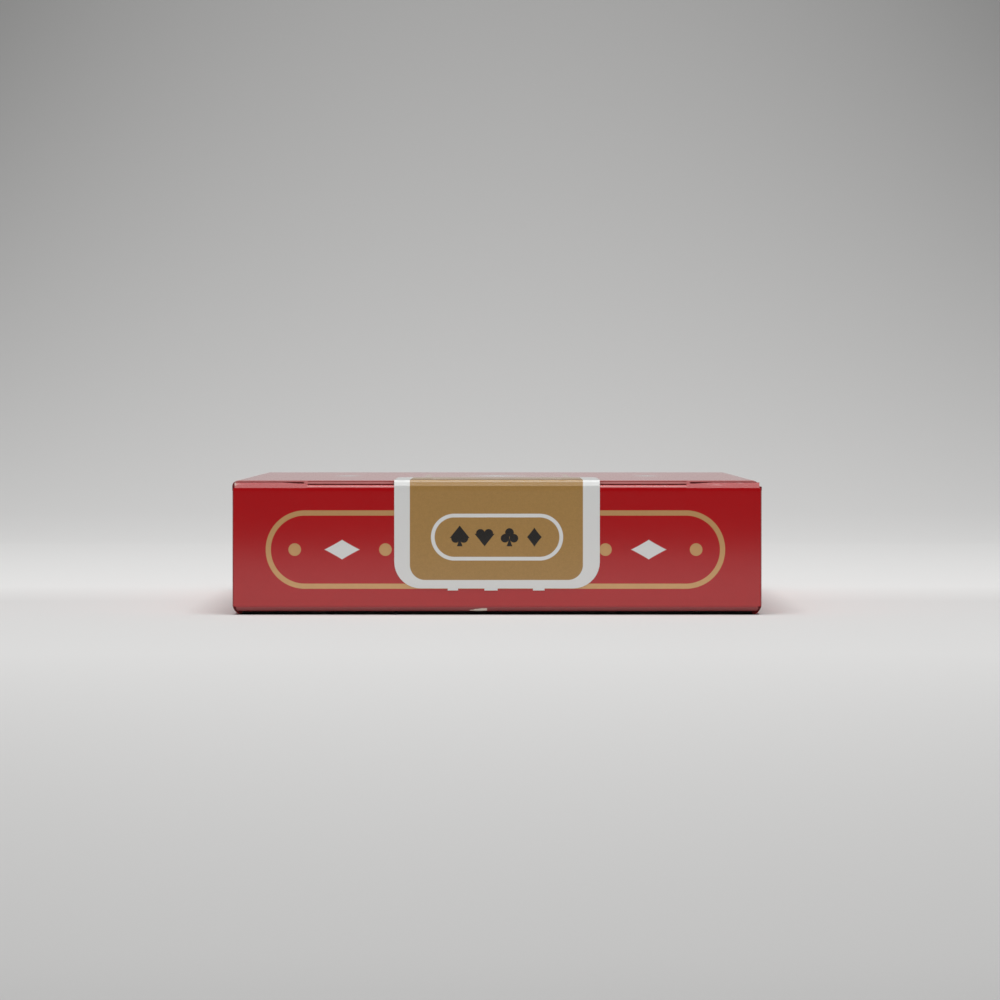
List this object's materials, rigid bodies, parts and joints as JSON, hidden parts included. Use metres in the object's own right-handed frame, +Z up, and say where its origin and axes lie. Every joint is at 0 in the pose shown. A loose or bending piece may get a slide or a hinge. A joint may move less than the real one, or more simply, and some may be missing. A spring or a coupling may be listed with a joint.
{
  "type": "playing card deck",
  "caption": "Sealed deck of playing cards in a folded red board tuck case, with a hinged lid, tuck flap, dust flaps and a paper seal over the opening edge.",
  "frame": {"origin": "middle of the case's underside, on the surface that it lies on", "axes": "+Y along the case from the lid to the closed bottom end, +Z up out of the front panel, +X to the right seen from the lid"},
  "size_m": [0.066, 0.0926, 0.0168],
  "materials": {
    "printed_board": "satin",
    "seal_paper": "satin",
    "card_stock": "satin"
  },
  "bodies": {
    "case": {"case": "printed_board", "seal_face_half": "seal_paper"},
    "lid": {"lid": "printed_board", "seal_lid_half": "seal_paper"},
    "tuck_flap": {"tuck_flap": "printed_board"},
    "dust_flap_left": {"dust_flap_left": "printed_board"},
    "dust_flap_right": {"dust_flap_right": "printed_board"},
    "deck": {"ace_of_spades": "card_stock", "two_of_spades": "card_stock", "three_of_spades": "card_stock", "four_of_spades": "card_stock", "five_of_spades": "card_stock", "six_of_spades": "card_stock", "seven_of_spades": "card_stock", "eight_of_spades": "card_stock", "nine_of_spades": "card_stock", "ten_of_spades": "card_stock", "jack_of_spades": "card_stock", "queen_of_spades": "card_stock", "king_of_spades": "card_stock", "ace_of_diamonds": "card_stock", "two_of_diamonds": "card_stock", "three_of_diamonds": "card_stock", "four_of_diamonds": "card_stock", "five_of_diamonds": "card_stock", "six_of_diamonds": "card_stock", "seven_of_diamonds": "card_stock", "eight_of_diamonds": "card_stock", "nine_of_diamonds": "card_stock", "ten_of_diamonds": "card_stock", "jack_of_diamonds": "card_stock", "queen_of_diamonds": "card_stock", "king_of_diamonds": "card_stock", "ace_of_clubs": "card_stock", "two_of_clubs": "card_stock", "three_of_clubs": "card_stock", "four_of_clubs": "card_stock", "five_of_clubs": "card_stock", "six_of_clubs": "card_stock", "seven_of_clubs": "card_stock", "eight_of_clubs": "card_stock", "nine_of_clubs": "card_stock", "ten_of_clubs": "card_stock", "jack_of_clubs": "card_stock", "queen_of_clubs": "card_stock", "king_of_clubs": "card_stock", "ace_of_hearts": "card_stock", "two_of_hearts": "card_stock", "three_of_hearts": "card_stock", "four_of_hearts": "card_stock", "five_of_hearts": "card_stock", "six_of_hearts": "card_stock", "seven_of_hearts": "card_stock", "eight_of_hearts": "card_stock", "nine_of_hearts": "card_stock", "ten_of_hearts": "card_stock", "jack_of_hearts": "card_stock", "queen_of_hearts": "card_stock", "king_of_hearts": "card_stock", "jokers": "card_stock"}
  },
  "joints": [
    {"name": "lid_hinge", "type": "hinge", "parent": "case", "child": "lid", "pos_m": [0, -0.046, 0.0002], "axis": [1, 0, 0], "range_deg": [0, 88]},
    {"name": "tuck_fold", "type": "hinge", "parent": "lid", "child": "tuck_flap", "pos_m": [0, -0.046, 0.01596], "axis": [1, 0, 0], "range_deg": [-44, 0]},
    {"name": "dust_fold_left", "type": "hinge", "parent": "case", "child": "dust_flap_left", "pos_m": [-0.0328, -0.0453, 0.00835], "axis": [0, 0, -1], "range_deg": [0, 29.4]},
    {"name": "dust_fold_right", "type": "hinge", "parent": "case", "child": "dust_flap_right", "pos_m": [0.0328, -0.0453, 0.00835], "axis": [0, 0, 1], "range_deg": [0, 29.4]},
    {"name": "deck_slide", "type": "slide", "parent": "case", "child": "deck", "axis": [0, -1, 0], "range_m": [0, 0.0008]}
  ],
  "couplings": [
    {"joint": "tuck_fold", "follows": "lid_hinge", "ratio": -0.5},
    {"joint": "dust_fold_left", "follows": "lid_hinge", "ratio": 0.33333},
    {"joint": "dust_fold_right", "follows": "lid_hinge", "ratio": 0.33333}
  ]
}
